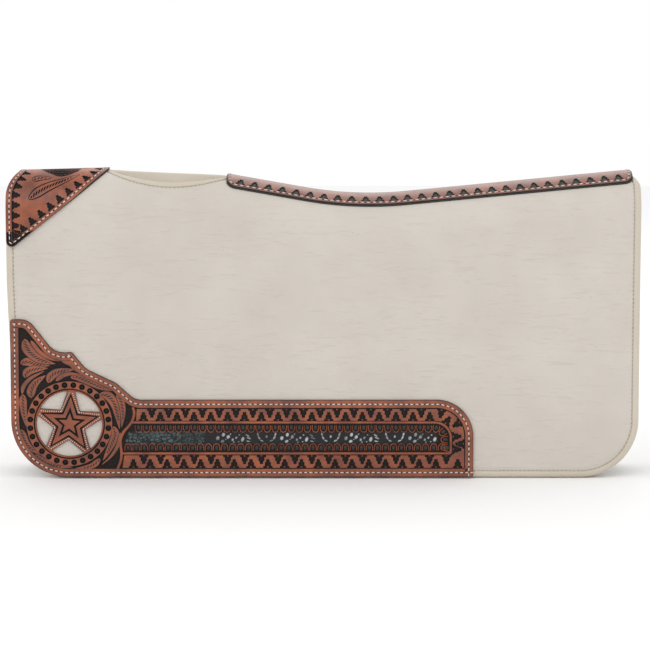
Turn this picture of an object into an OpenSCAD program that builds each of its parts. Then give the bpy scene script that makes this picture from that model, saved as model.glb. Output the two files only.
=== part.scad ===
// Contoured felt saddle pad, folded over its spine as it stands or hangs.
// +X points to the rear, -Y to the near side and +Z up. The origin is on the surface that the
// pad stands on, under its middle. All lengths are in millimetres.

/* [Pad] */
// Length from the front edge to the rear edge
pad_len = 788; // [776:1:800]
// Thickness of the two felts and the core together
pad_thick = 25; // [22:0.5:27]
// Outer radius of the fold over the spine
crest_r = 48; // [45:1:51]
// How far the lower half of the front edge is set back
front_lean = 4; // [0:0.5:8]
// Radius of the two lower corners of each side
lower_corner_r = 72; // [55:1:80]
// Radius of the corner between the front edge and the spine
front_corner_r = 32; // [20:1:36]
// Radius of the corner between the rear edge and the spine
rear_corner_r = 13; // [10:1:20]

/* [Spine contour] */
// Height of the lowest point of the spine, under the saddle seat
seat_z = 350; // [340:1:356]
// Distance of that point behind the middle of the pad
seat_x = 58; // [40:1:70]
// Radius of the hollow in the spine
seat_r = 470; // [440:5:520]
// Slope of the spine from the withers down to the seat, in degrees
wither_slope = 10; // [8:0.5:11]
// Length of that slope where it is straight
slope_len = 103; // [90:1:110]
// Radius of the rise over the withers
wither_r = 520; // [480:5:560]
// Slope of the spine from the withers down to the front edge, in degrees
front_slope = 1.5; // [0:0.5:3]
// Slope of the spine from the seat up to the rear edge, in degrees
loin_slope = 5.5; // [4:0.5:6]

/* [Felt layers] */
// Thickness of the top felt
top_felt_t = 9; // [8:0.5:10]
// Thickness of the shock core
core_t = 7; // [5:0.5:9]
// Distance of the core from every outer edge
core_inset = 16; // [13:0.5:24]
// Distance of the core from the spine seam
core_spine_gap = 8; // [4:0.5:12]

/* [Binding] */
// Width of the binding on each face
bind_w = 8; // [7:0.5:9]
// Thickness of the binding on each face
bind_face_t = 1.5; // [1:0.1:2]
// Thickness of the binding over the edge
bind_edge_t = 2; // [1.5:0.1:2.5]
// Width of the stitched groove beside the binding
groove_w = 0.8; // [0.6:0.1:1.2]
// How deep the thread lies in that groove
groove_drop = 0.3; // [0.2:0.1:0.5]

/* [Wither vent] */
// Place of the middle of the vent ahead of the middle of the pad
vent_x = -193; // [-196:1:-190]
// Length of the vent along the spine
vent_len = 144; // [136:1:146]
// How far the vent reaches down each side, measured straight across the fold
vent_drop = 34; // [30:0.5:34]

/* [Spine leathers] */
// Thickness of all the tooled leathers
leather_t = 3; // [2.5:0.1:3.5]
// Room between the felt and the pieces that lie across the spine
spine_gap = 0.3; // [0.2:0.1:0.5]
// Width of the spine strip, measured straight across
strip_w = 60; // [52:1:64]
// Front end of the spine strip
strip_front_x = -119; // [-120:1:-110]
// Rear end of the spine strip
strip_rear_x = 383; // [376:1:385]
// Radius of the corners of the spine strip
strip_corner_r = 10; // [6:1:14]
// Height of the point of the wither leather
wither_tip_z = 291; // [284:1:298]
// Width of the tape under the spine seam
tape_w = 28; // [20:1:32]
// Thickness of that tape
tape_t = 1; // [0.8:0.1:1.2]

/* [Stitching] */
// Width of a line of stitching
thread_w = 0.8; // [0.6:0.1:1]
// How far the stitching stands up from the leather
thread_h = 0.5; // [0.3:0.1:0.8]
// Distance of the stitching from the edge of the spine strip
strip_stitch_in = 3; // [2.5:0.1:4]
// Distance of the stitching from the edge of the wither leather
wither_stitch_in = 4.5; // [4:0.1:6]
// Distance of the stitching from the edge of the wear leather
wear_stitch_in = 5.5; // [5:0.1:7]

/* [Wear leather] */
// Height of its bottom edge
wear_bottom_z = 2; // [2:0.5:4]
// Height of the long strip's top edge
wear_strip_z = 99; // [95:1:102]
// Height of the tall front panel's top edge
wear_front_z = 200; // [192:1:206]
// Rear end of the long strip
wear_rear_x = 187; // [180:1:200]
// Radius of the upper rear corner
wear_rear_r = 46; // [36:1:50]
// Gap between its front edge and the pad's front edge
wear_edge_gap = 0.5; // [0.5:0.5:3]
// Place of the middle of the round opening along the pad
star_x = -317; // [-320:1:-314]
// Height of the middle of the round opening
star_z = 69; // [67:1:71]
// Radius of the round opening
ring_r = 41; // [38:1:43]

/* [Star] */
// Radius of the star's points, which lie beyond the ring, so that its arms run into it
star_r = 56; // [50:0.5:60]
// Radius of the star's inner corners
star_inner_r = 20.5; // [18:0.5:23]
// Turn of the star, in degrees
star_turn = -3.6; // [-8:0.1:8]

/* [Inlay] */
// Front end of the inlay window
inlay_front_x = -236; // [-240:1:-230]
// Rear end of the inlay window
inlay_rear_x = 143; // [130:1:148]
// Lower edge of the inlay window
inlay_low_z = 42; // [40:0.5:44]
// Upper edge of the inlay window
inlay_high_z = 59; // [57:0.5:61]
// Thickness of the inlay strip behind the window
inlay_t = 1.4; // [1:0.1:1.8]
// How far the inlay strip reaches behind the leather around the window
inlay_lap = 4; // [2:0.5:6]

/* [Hidden] */

// Steps in a full turn of a round opening
$fn = 72;
// Steps in a quarter turn of the fold, and in each bend of the spine
fold_steps = 8;
bend_steps = 5;
// Steps in each rounded corner of an outline
corner_steps = 6;

front_x = -pad_len / 2;
rear_x = pad_len / 2;
above = 420;                    // higher than any part of the pad
beyond = 20;                    // how far a cutting shape passes what it cuts

// Points where the straights and the bends of the spine meet
seat_centre = [seat_x, seat_z + seat_r];
seat_rear = seat_centre + seat_r * [sin(loin_slope), -cos(loin_slope)];
slope_top = seat_centre - seat_r * [sin(wither_slope), cos(wither_slope)]
    + slope_len * [-cos(wither_slope), sin(wither_slope)];
wither_centre = slope_top - wither_r * [sin(wither_slope), cos(wither_slope)];
wither_front = wither_centre + wither_r * [-sin(front_slope), cos(front_slope)];
spine_top_z = wither_centre[1] + wither_r;

// The line of the spine, [x, z], from ahead of the pad to behind it
spine = concat(
    [[front_x - beyond, wither_front[1] - (wither_front[0] - front_x + beyond) * tan(front_slope)]],
    [for (k = [0 : bend_steps]) let (t = front_slope - (front_slope + wither_slope) * k / bend_steps)
        wither_centre + wither_r * [-sin(t), cos(t)]],
    [for (k = [0 : bend_steps]) let (t = -wither_slope + (wither_slope + loin_slope) * k / bend_steps)
        seat_centre + seat_r * [sin(t), -cos(t)]],
    [[rear_x + beyond, seat_rear[1] + (rear_x + beyond - seat_rear[0]) * tan(loin_slope)]]
);

// The vent is cut square to the fold, halfway round it
vent_turn = 45;
vent_r = (pow(vent_len / 2, 2) + pow(vent_drop, 2)) / (2 * vent_drop);
vent_spine_z = wither_centre[1] + sqrt(pow(wither_r, 2) - pow(vent_x - wither_centre[0], 2));

felt_grey = [0.82, 0.79, 0.75];
binding_cream = [0.77, 0.73, 0.66];
leather_tan = [0.62, 0.36, 0.24];
strip_tan = [0.6, 0.42, 0.36];
inlay_black = [0.16, 0.17, 0.18];
thread_white = [0.9, 0.87, 0.8];
core_blue = [0.35, 0.42, 0.5];

// ---- outlines: lists of [x, y, corner radius], anticlockwise ----

function unit(v) = v / norm(v);
function left_of(v) = [-v[1], v[0]];
function xy(p) = [p[0], p[1]];
function before(pts, i) = xy(pts[(i + len(pts) - 1) % len(pts)]);
function after(pts, i) = xy(pts[(i + 1) % len(pts)]);

// The same outline moved inwards by d, its corner radii with it
function inset(pts, d) = [for (i = [0 : len(pts) - 1])
    let (p = xy(pts[i]), a = unit(p - before(pts, i)), b = unit(after(pts, i) - p),
         n = left_of(a), m = left_of(b), turns_left = cross(a, b) > 0,
         q = p + (n + m) * d / (1 + n * m), r = pts[i][2] + (turns_left ? -d : d))
    [q[0], q[1], max(r, 0.3)]];

// One rounded corner: the arc that touches both of its sides
function corner(pts, i) =
    let (p = xy(pts[i]), a = unit(p - before(pts, i)), b = unit(after(pts, i) - p),
         side = cross(a, b) > 0 ? 1 : -1, r = pts[i][2], turn = acos(a * b),
         start = p - a * r * tan(turn / 2), centre = start + side * r * left_of(a),
         from = start - centre)
    [for (k = [0 : corner_steps]) let (t = side * turn * k / corner_steps)
        centre + [from[0] * cos(t) - from[1] * sin(t), from[0] * sin(t) + from[1] * cos(t)]];

function rounded(pts) = [for (i = [0 : len(pts) - 1], p = corner(pts, i)) p];

// Side view of the pad
pad_outline = [
    [front_x + front_lean, 0, lower_corner_r],
    [rear_x, 0, lower_corner_r],
    [rear_x, seat_rear[1] + (rear_x - seat_rear[0]) * tan(loin_slope), rear_corner_r],
    [seat_x, seat_z + 60, 1],
    [wither_centre[0], spine_top_z + 40, 1],
    [front_x, wither_front[1] - (wither_front[0] - front_x) * tan(front_slope), front_corner_r],
    [front_x, 245, 200],
    [front_x + front_lean, 150, 200]
];

// Side view of the wear leather
wear_outline = [
    [front_x + front_lean + wear_edge_gap, wear_bottom_z, lower_corner_r - wear_edge_gap],
    [wear_rear_x, wear_bottom_z, 1],
    [wear_rear_x, wear_strip_z, wear_rear_r],
    [-235, wear_strip_z, 20],
    [-258, wear_strip_z + 21, 20],
    [-296, wear_strip_z + 39, 30],
    [-313, wear_strip_z + 60, 1],
    [-334, wear_strip_z + 59, 24],
    [-367, wear_front_z, 20],
    [front_x + front_lean + wear_edge_gap, wear_front_z, 3]
];

// Side view of the wither leather, which ends above the spine
wither_outline = [
    [front_x + wear_edge_gap, wither_tip_z - 8, 7],
    [-258, spine_top_z + 8, 1],
    [-300, spine_top_z + 12, 1],
    [front_x + wear_edge_gap, wither_front[1] - 3, front_corner_r]
];

strip_outline = [
    [strip_front_x, -strip_w / 2, strip_corner_r], [strip_rear_x, -strip_w / 2, strip_corner_r],
    [strip_rear_x, strip_w / 2, strip_corner_r], [strip_front_x, strip_w / 2, strip_corner_r]
];

inlay_outline = [
    [inlay_front_x + 8, inlay_low_z, 2], [inlay_rear_x, inlay_low_z, 4],
    [inlay_rear_x, inlay_high_z, 6], [inlay_front_x, inlay_high_z, 2]
];

function star(r, r_in) = [for (i = [0 : 9])
    let (q = i % 2 == 0 ? r : r_in, t = 90 + star_turn + 36 * i) q * [cos(t), sin(t)]];

// ---- the folded shape ----

// The curve of the fold at radius r from angle a0 to a1, each point as [y, height]
function fold(r, a0, a1) = let (n = fold_steps * abs(a1 - a0) / 90)
    [for (k = [0 : n]) let (t = a0 + (a1 - a0) * k / n) r * [-sin(t), cos(t)]];

// Section of one half between two depths below the outer surface. Heights count from the centre
// of the fold, and the leg's foot is marked by undef.
function half_section(outer, inner) = concat(
    fold(crest_r - outer, 0, 90), [[outer - crest_r, undef], [inner - crest_r, undef]],
    fold(crest_r - inner, 90, 0));

// A section carried along the spine
module along_spine(section) {
    n = len(section);
    last = (len(spine) - 1) * n;
    polyhedron(
        points = [for (s = spine, p = section)
            [s[0], p[0], is_undef(p[1]) ? -beyond : s[1] - crest_r + p[1]]],
        faces = concat(
            [[for (i = [0 : n - 1]) i]],
            [for (j = [0 : len(spine) - 2], i = [0 : n - 1]) let (k = (i + 1) % n)
                [j * n + k, j * n + i, j * n + n + i, j * n + n + k]],
            [[for (i = [n - 1 : -1 : 0]) last + i]]));
}

// A layer of the near half between two depths, its outline not yet cut
module layer(outer, inner) {
    along_spine(half_section(outer, inner));
}

// A layer over both halves
module full_layer(outer, inner) {
    layer(outer, inner);
    mirror([0, 1, 0]) layer(outer, inner);
}

// A side-view outline as a prism across the whole pad
module side_prism(points) {
    translate([0, 2 * crest_r, 0]) rotate([90, 0, 0]) linear_extrude(4 * crest_r) polygon(points);
}

// A side-view outline as a plate on the near side, between two distances from the felt
module side_plate(points, low, high) {
    translate([0, -crest_r - low, 0]) rotate([90, 0, 0]) linear_extrude(high - low) polygon(points);
}

// The round cutter of the vent's near half, made wider by grow
module vent_cutter(grow) {
    translate([vent_x, 0, vent_spine_z - crest_r]) rotate([vent_turn, 0, 0])
        translate([0, vent_r, 0]) cylinder(r = vent_r + grow, h = 3 * crest_r);
}

// A layer cut to the pad's outline and the vent, both moved in by d
module cut_layer(outer, inner, d) {
    difference() {
        intersection() {
            layer(outer, inner);
            side_prism(rounded(inset(pad_outline, d)));
        }
        vent_cutter(d);
    }
}

// ---- felt and core ----

module core_shape() {
    intersection() {
        cut_layer(top_felt_t, top_felt_t + core_t, core_inset);
        translate([front_x, -2 * crest_r, 0])
            cube([pad_len, 2 * crest_r - core_spine_gap, above]);
    }
}

// What the binding and its groove take out of the felts, between two depths
module rebate(outer, inner) {
    difference() {
        layer(outer, inner);
        difference() {
            side_prism(rounded(inset(pad_outline, bind_w + groove_w)));
            vent_cutter(bind_w + groove_w);
        }
    }
}

module top_felt() {
    color(felt_grey) difference() {
        cut_layer(0, top_felt_t, bind_edge_t);
        rebate(-1, bind_face_t);
    }
}

module shock_core() {
    color(core_blue) core_shape();
}

module under_felt() {
    color(felt_grey) difference() {
        cut_layer(top_felt_t, pad_thick, bind_edge_t);
        rebate(pad_thick - bind_face_t, pad_thick + 1);
        core_shape();
    }
}

// ---- binding ----

module edge_binding() {
    color(binding_cream) difference() {
        intersection() {
            layer(0, pad_thick);
            side_prism(rounded(pad_outline));
        }
        side_prism(rounded(inset(pad_outline, bind_w)));
        intersection() {
            layer(bind_face_t, pad_thick - bind_face_t);
            side_prism(rounded(inset(pad_outline, bind_edge_t)));
        }
    }
}

module edge_stitching() {
    color(thread_white) difference() {
        intersection() {
            layer(groove_drop, bind_face_t);
            side_prism(rounded(inset(pad_outline, bind_w)));
        }
        side_prism(rounded(inset(pad_outline, bind_w + groove_w)));
    }
}

module vent_binding() {
    color(binding_cream) difference() {
        intersection() {
            layer(0, pad_thick);
            vent_cutter(bind_w);
        }
        vent_cutter(0);
        difference() {
            layer(bind_face_t, pad_thick - bind_face_t);
            vent_cutter(bind_edge_t);
        }
    }
}

module vent_stitching() {
    color(thread_white) difference() {
        intersection() {
            layer(groove_drop, bind_face_t);
            vent_cutter(bind_w + groove_w);
        }
        vent_cutter(bind_w);
    }
}

// ---- leathers over the spine ----

module wither_leather() {
    color(leather_tan) intersection() {
        full_layer(-spine_gap - leather_t, -spine_gap);
        side_prism(rounded(wither_outline));
    }
}

module wither_leather_stitching() {
    color(thread_white) difference() {
        intersection() {
            full_layer(-spine_gap - leather_t - thread_h, -spine_gap - leather_t);
            side_prism(rounded(inset(wither_outline, wither_stitch_in)));
        }
        side_prism(rounded(inset(wither_outline, wither_stitch_in + thread_w)));
    }
}

module strip_prism(d) {
    linear_extrude(above) polygon(rounded(inset(strip_outline, d)));
}

module spine_strip_leather() {
    color(strip_tan) intersection() {
        full_layer(-spine_gap - leather_t, -spine_gap);
        translate([0, 0, seat_z - crest_r]) strip_prism(0);
    }
}

module spine_strip_stitching() {
    color(thread_white) difference() {
        intersection() {
            full_layer(-spine_gap - leather_t - thread_h, -spine_gap - leather_t);
            translate([0, 0, seat_z - crest_r]) strip_prism(strip_stitch_in);
        }
        strip_prism(strip_stitch_in + thread_w);
    }
}

// Two lengths of tape under the seam, ahead of the vent and behind it
module spine_seam_tape() {
    vent_clear = vent_len / 2 + bind_w;
    front_end = front_x + front_corner_r;
    rear_end = rear_x - rear_corner_r;
    color(thread_white) intersection() {
        full_layer(pad_thick + spine_gap, pad_thick + spine_gap + tape_t);
        for (run = [[front_end, vent_x - vent_clear], [vent_x + vent_clear, rear_end]])
            translate([run[0], -tape_w / 2, seat_z - crest_r])
                cube([run[1] - run[0], tape_w, above]);
    }
}

// ---- wear leather and what it holds ----

module inlay_shape() {
    side_plate(rounded(inset(inlay_outline, -inlay_lap)), 0, inlay_t);
}

// The five windows between the arms of the star
module star_windows() {
    translate([star_x, 0, star_z]) rotate([90, 0, 0]) linear_extrude(2 * crest_r) difference() {
        circle(ring_r);
        polygon(star(star_r, star_inner_r));
    }
}

module wear_leather() {
    color(leather_tan) difference() {
        side_plate(rounded(wear_outline), 0, leather_t);
        star_windows();
        side_plate(rounded(inlay_outline), 0, beyond);
        inlay_shape();
    }
}

module wear_leather_stitching() {
    color(thread_white) difference() {
        side_plate(rounded(inset(wear_outline, wear_stitch_in)), leather_t, leather_t + thread_h);
        side_plate(rounded(inset(wear_outline, wear_stitch_in + thread_w)), 0, beyond);
    }
}

module inlay_strip() {
    color(inlay_black) inlay_shape();
}

module far() {
    mirror([0, 1, 0]) children();
}

wither_leather();
wither_leather_stitching();
spine_strip_leather();
spine_strip_stitching();
spine_seam_tape();
top_felt();  // near_top_felt
shock_core();  // near_shock_core
under_felt();  // near_under_felt
edge_binding();  // near_edge_binding
edge_stitching();  // near_edge_stitching
vent_binding();  // near_vent_binding
vent_stitching();  // near_vent_stitching
wear_leather();  // near_wear_leather
wear_leather_stitching();  // near_wear_leather_stitching
inlay_strip();  // near_inlay_strip
far() top_felt();  // far_top_felt
far() shock_core();  // far_shock_core
far() under_felt();  // far_under_felt
far() edge_binding();  // far_edge_binding
far() edge_stitching();  // far_edge_stitching
far() vent_binding();  // far_vent_binding
far() vent_stitching();  // far_vent_stitching
far() wear_leather();  // far_wear_leather
far() wear_leather_stitching();  // far_wear_leather_stitching
far() inlay_strip();  // far_inlay_strip
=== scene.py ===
import math
import random

import bmesh
import bpy
from mathutils import Matrix, Vector, kdtree, noise
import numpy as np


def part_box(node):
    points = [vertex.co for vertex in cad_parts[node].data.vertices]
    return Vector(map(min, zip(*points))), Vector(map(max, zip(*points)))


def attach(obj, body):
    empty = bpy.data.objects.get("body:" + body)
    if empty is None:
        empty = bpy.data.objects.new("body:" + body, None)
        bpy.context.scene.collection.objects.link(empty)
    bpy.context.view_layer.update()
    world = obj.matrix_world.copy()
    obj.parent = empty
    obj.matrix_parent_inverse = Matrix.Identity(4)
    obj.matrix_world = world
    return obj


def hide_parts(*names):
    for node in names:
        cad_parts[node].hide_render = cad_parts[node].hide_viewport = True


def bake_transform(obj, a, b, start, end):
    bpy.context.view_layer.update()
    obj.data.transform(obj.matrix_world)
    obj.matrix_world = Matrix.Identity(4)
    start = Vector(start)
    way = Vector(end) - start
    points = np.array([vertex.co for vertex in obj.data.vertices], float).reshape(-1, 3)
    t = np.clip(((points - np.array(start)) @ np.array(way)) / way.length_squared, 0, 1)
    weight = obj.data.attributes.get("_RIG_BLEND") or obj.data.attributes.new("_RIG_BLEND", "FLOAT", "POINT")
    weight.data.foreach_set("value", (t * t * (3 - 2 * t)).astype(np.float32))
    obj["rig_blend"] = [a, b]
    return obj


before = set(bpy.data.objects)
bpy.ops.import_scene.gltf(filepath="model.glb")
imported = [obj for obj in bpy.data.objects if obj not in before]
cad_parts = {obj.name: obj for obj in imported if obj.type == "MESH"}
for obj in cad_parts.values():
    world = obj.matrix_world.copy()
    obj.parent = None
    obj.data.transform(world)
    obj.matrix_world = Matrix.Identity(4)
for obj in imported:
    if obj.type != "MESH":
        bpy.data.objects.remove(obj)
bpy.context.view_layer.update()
random.seed(11)
mm = 0.001
sides = {"near": -1, "far": 1}
print("frame loaded")

# camera, floor and light

view = {"elevation": 8, "distance": 3.5, "lens": 156, "aim": (0.0019, -0.05, 0.193)}


def addCamera():
    data = bpy.data.cameras.new("camera")
    data.lens = view["lens"]
    data.sensor_width = 36
    camera = bpy.data.objects.new("camera", data)
    tilt = math.radians(view["elevation"])
    camera.location = Vector(view["aim"]) + view["distance"] * Vector((0, -math.cos(tilt), math.sin(tilt)))
    camera.rotation_euler = (math.radians(90) - tilt, 0, 0)
    bpy.context.scene.collection.objects.link(camera)
    bpy.context.scene.camera = camera


def addLight(name, spot, aim, size, power):
    data = bpy.data.lights.new(name, "AREA")
    data.size, data.energy = size, power
    lamp = bpy.data.objects.new(name, data)
    lamp.location = spot
    lamp.rotation_euler = (Vector(aim) - Vector(spot)).to_track_quat("-Z", "Y").to_euler()
    bpy.context.scene.collection.objects.link(lamp)


studio = {
    "world": 1.0,
    "key": {"spot": (-1.3, -2.3, 2.2), "size": 1.6, "power": 16},
    "fill": {"spot": (1.9, -2.0, 1.1), "size": 1.8, "power": 7},
    "back": {"spot": (0.2, 2.1, 1.9), "size": 1.6, "power": 8},
    "floorSize": 8.0,
}


def addStudio():
    world = bpy.data.worlds.new("studio")
    world.use_nodes = True
    world.node_tree.nodes["Background"].inputs["Color"].default_value = (1, 1, 1, 1)
    world.node_tree.nodes["Background"].inputs["Strength"].default_value = studio["world"]
    bpy.context.scene.world = world
    for name in ("key", "fill", "back"):
        lamp = studio[name]
        addLight(name, lamp["spot"], (0, 0, 0.2), lamp["size"], lamp["power"])
    bm = bmesh.new()
    bmesh.ops.create_grid(bm, x_segments=2, y_segments=2, size=studio["floorSize"] / 2)
    mesh = bpy.data.meshes.new("floor")
    bm.to_mesh(mesh)
    bm.free()
    floor = bpy.data.objects.new("floor", mesh)
    floor.location.z = -0.0005
    paper = bpy.data.materials.new("whitePaper")
    paper.use_nodes = True
    shader = paper.node_tree.nodes["Principled BSDF"]
    shader.inputs["Base Color"].default_value = (0.93, 0.93, 0.93, 1)
    shader.inputs["Roughness"].default_value = 0.9
    mesh.materials.append(paper)
    bpy.context.scene.collection.objects.link(floor)
    bpy.context.scene.view_settings.view_transform = "Standard"


addCamera()
addStudio()
print("studio ready")

# the pad's own shape: a flat pattern (x along, v up the side and over) folded over the spine

edgeLow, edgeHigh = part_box("near_edge_binding")
pad = {
    "frontX": edgeLow.x,
    "rearX": edgeHigh.x,
    "foldR": 48 * mm,
    "thick": 25 * mm,
    "frontLean": 4 * mm,  # how far the lower half of the front edge is set back
    "lowCornerR": 72 * mm,
    "frontCornerR": 32 * mm,
    "rearCornerR": 13 * mm,
    "flare": 4 * mm,  # how far the lower edge stands out
    "flareTop": 240 * mm,
    "lipX": -193 * mm,  # the vent's edges stand up a little, the far one more
    "lipReach": 82 * mm,
    "lipLift": (6 * mm, 14 * mm),
}
waves = {  # gentle waves of the felt, with the places where they start and the length over which they grow
    "height": 1.3 * mm,
    "behindLeather": (200 * mm, 60 * mm),
    "aboveStrip": (108 * mm, 50 * mm),
    "behindPanel": (-230 * mm, 60 * mm),
    "abovePanel": (205 * mm, 40 * mm),
}
spine = {
    "seatX": 58 * mm,
    "seatZ": 350 * mm,
    "seatR": 470 * mm,
    "witherTilt": math.radians(10),
    "slopeLen": 103 * mm,
    "witherR": 520 * mm,
    "frontTilt": math.radians(1.5),
    "loinTilt": math.radians(5.5),
}


def aslant(angle):
    return Vector((math.sin(angle), math.cos(angle)))


seatMid = Vector((spine["seatX"], spine["seatZ"] + spine["seatR"]))
seatEnd = seatMid + spine["seatR"] * Vector((math.sin(spine["loinTilt"]), -math.cos(spine["loinTilt"])))
slopeLow = seatMid - spine["seatR"] * aslant(spine["witherTilt"])
slopeTop = slopeLow + spine["slopeLen"] * Vector((-math.cos(spine["witherTilt"]),
                                                  math.sin(spine["witherTilt"])))
witherMid = slopeTop - spine["witherR"] * aslant(spine["witherTilt"])
witherEnd = witherMid + spine["witherR"] * aslant(-spine["frontTilt"])


def ridgeZ(x):
    if x < witherEnd.x:
        return witherEnd.y - (witherEnd.x - x) * math.tan(spine["frontTilt"])
    if x < slopeTop.x:
        return witherMid.y + math.sqrt(spine["witherR"] ** 2 - (x - witherMid.x) ** 2)
    if x < slopeLow.x:
        return slopeTop.y - (x - slopeTop.x) * math.tan(spine["witherTilt"])
    if x < seatEnd.x:
        return seatMid.y - math.sqrt(spine["seatR"] ** 2 - (x - seatMid.x) ** 2)
    return seatEnd.y + (x - seatEnd.x) * math.tan(spine["loinTilt"])


def foldZ(x):  # height at which the flat side turns into the fold
    return ridgeZ(x) - pad["foldR"]


def ridgeV(x):
    return foldZ(x) + pad["foldR"] * math.pi / 2


def toFlat(p):  # a point of the side view, [x, z], as a point of the flat pattern
    over = (p[1] - foldZ(p[0])) / pad["foldR"]
    if over <= 0:
        return Vector((p[0], p[1]))
    return Vector((p[0], foldZ(p[0]) + pad["foldR"] * math.asin(min(1, over))))


def ease(t):
    t = min(1, max(0, t))
    return t * t * (3 - 2 * t)


def past(where, place):  # 0 before the waves start at a place, 1 where they are fully grown
    start, length = waves[place]
    return ease((where - start) / length)


def standOut(x, v, side):  # how far every layer stands out from the plain folded shape
    offPanel = max(past(x, "behindPanel"), past(v, "abovePanel"))
    free = max(past(x, "behindLeather"), min(past(v, "aboveStrip"), offPanel))
    wave = math.sin(9 * x + 5 * v + 0.6) + 0.6 * math.sin(17 * x - 11 * v + 2)
    high = 1 - ease((v - foldZ(x)) / pad["foldR"])
    lip = ease(1 - abs(x - pad["lipX"]) / pad["lipReach"]) * ease((v - ridgeV(x)) / pad["lipReach"] + 1.3)
    lift = pad["lipLift"][0 if side < 0 else 1] * lip
    flare = pad["flare"] * max(0, pad["flareTop"] - v) / pad["flareTop"]
    return flare + waves["height"] * free * high * wave + lift


def foldOver(bm, side):
    for vert in bm.verts:
        x, v, h = vert.co
        turn = min(math.pi / 2, max(0, (v - foldZ(x)) / pad["foldR"]))
        r = pad["foldR"] + h + standOut(x, v, side)
        if turn == 0:
            vert.co = (x, side * r, v)
        else:
            vert.co = (x, side * r * math.cos(turn), foldZ(x) + r * math.sin(turn))


# outlines

def leftOf(d):
    return Vector((-d.y, d.x))


def spread(path, gap):  # adds points so that none are further apart than gap
    out = []
    for p, q in zip(path, path[1:]):
        steps = max(1, math.ceil((q - p).length / gap - 1e-6))
        out += [p.lerp(q, k / steps) for k in range(steps)]
    return out + [path[-1]]


def tidy(path, closed=False):  # drops points that lie on each other
    out = [path[0]]
    for p in path[1:]:
        if (p - out[-1]).length > 2e-5:
            out.append(p)
    if closed and len(out) > 2 and (out[0] - out[-1]).length < 2e-5:
        out.pop()
    return out


def roundCorners(points, closed=False, step=4 * mm):  # points as (x, z, corner radius)
    out = []
    count = len(points)
    for i, (x, z, r) in enumerate(points):
        p = Vector((x, z))
        if r == 0 or (not closed and i in (0, count - 1)):
            out.append(p)
            continue
        a = (p - Vector(points[i - 1][:2])).normalized()
        b = (Vector(points[(i + 1) % count][:2]) - p).normalized()
        turn = math.atan2(a.x * b.y - a.y * b.x, a.dot(b))
        start = p - a * r * math.tan(abs(turn) / 2)
        mid = start + leftOf(a) * math.copysign(r, turn)
        steps = max(3, math.ceil(r * abs(turn) / step))
        for k in range(steps + 1):
            out.append(mid + Matrix.Rotation(turn * k / steps, 2) @ (start - mid))
    return tidy(out, closed)


def smoothLine(points, steps=6):  # a smooth line through a few points
    pts = [Vector(p) for p in points]
    pts = [2 * pts[0] - pts[1]] + pts + [2 * pts[-1] - pts[-2]]
    out = []
    for a, b, c, d in zip(pts, pts[1:], pts[2:], pts[3:]):
        for k in range(steps):
            t = k / steps
            out.append(0.5 * (2 * b + (c - a) * t + (2 * a - 5 * b + 4 * c - d) * t * t
                              + (3 * b - a - 3 * c + d) * t ** 3))
    return out + [pts[-2]]


def leans(path, closed=True):  # for each point, the way and length that moves both its sides in by one
    out = []
    count = len(path)
    for i, p in enumerate(path):
        q = path[i - 1] if closed or i > 0 else None
        s = path[(i + 1) % count] if closed or i < count - 1 else None
        a = (p - q).normalized() if q is not None else (s - p).normalized()
        b = (s - p).normalized() if s is not None else a
        n, m = leftOf(a), leftOf(b)
        out.append((n + m) / max(0.35, 1 + n.dot(m)))
    return out


def moved(path, d, closed=False):  # the path moved to its left by d
    return [p + n * d for p, n in zip(path, leans(path, closed))]


def along(path, pitch, start=0.0, end=0.0):  # evenly spaced (point, direction) along a path
    lengths = [(b - a).length for a, b in zip(path, path[1:])]
    total = sum(lengths) - start - end
    count = max(1, round(total / pitch))
    out, i, done = [], 0, 0.0
    for k in range(count + 1):
        want = start + total * k / count
        while i < len(lengths) - 1 and done + lengths[i] < want:
            done += lengths[i]
            i += 1
        way = (path[i + 1] - path[i]).normalized()
        out.append((path[i] + way * (want - done), way))
    return out


def pointAt(path, want):  # the point and direction at a length along a path
    for a, b in zip(path, path[1:]):
        length = (b - a).length
        if want <= length:
            return a + (b - a).normalized() * want, (b - a).normalized()
        want -= length
    return path[-1], (path[-1] - path[-2]).normalized()


def underRidge(path):  # the part of a path that lies below the spine
    out = []
    for a, b in zip(path, path[1:]):
        da, db = ridgeV(a.x) - a.y, ridgeV(b.x) - b.y
        if da >= 0:
            out.append(a)
        if (da < 0) != (db < 0):
            out.append(a.lerp(b, da / (da - db)))
    if ridgeV(path[-1].x) >= path[-1].y:
        out.append(path[-1])
    return tidy(out)


def ridgeRun(x0, x1, gap=10 * mm):  # points along the spine between two places, ends left out
    steps = max(1, math.ceil(abs(x1 - x0) / gap))
    return [Vector((x, ridgeV(x))) for x in (x0 + (x1 - x0) * k / steps for k in range(1, steps))]


def overRidge(path, reach=12 * mm):  # the path with both ends carried on past the spine
    first = path[0] + (path[0] - path[1]).normalized() * reach
    last = path[-1] + (path[-1] - path[-2]).normalized() * reach
    return [first] + path + [last]


def circle(mid, r, steps=48):
    return [mid + r * Vector((math.cos(t), math.sin(t)))
            for t in (2 * math.pi * k / steps for k in range(steps))]


# meshes

scratch = bpy.data.meshes.new("scratch")


def addTo(bm, part):  # joins a small mesh to a bigger one
    part.to_mesh(scratch)
    part.free()
    bm.from_mesh(scratch)


def newMesh():
    bm = bmesh.new()
    bm.verts.layers.float.new("dyeAndPaintedLight")  # how much dark dye and painted shade, 0 to 1; on the inlay, the emboss height that sets its painted highlight
    bm.verts.layers.float_vector.new("lean")
    return bm


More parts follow.
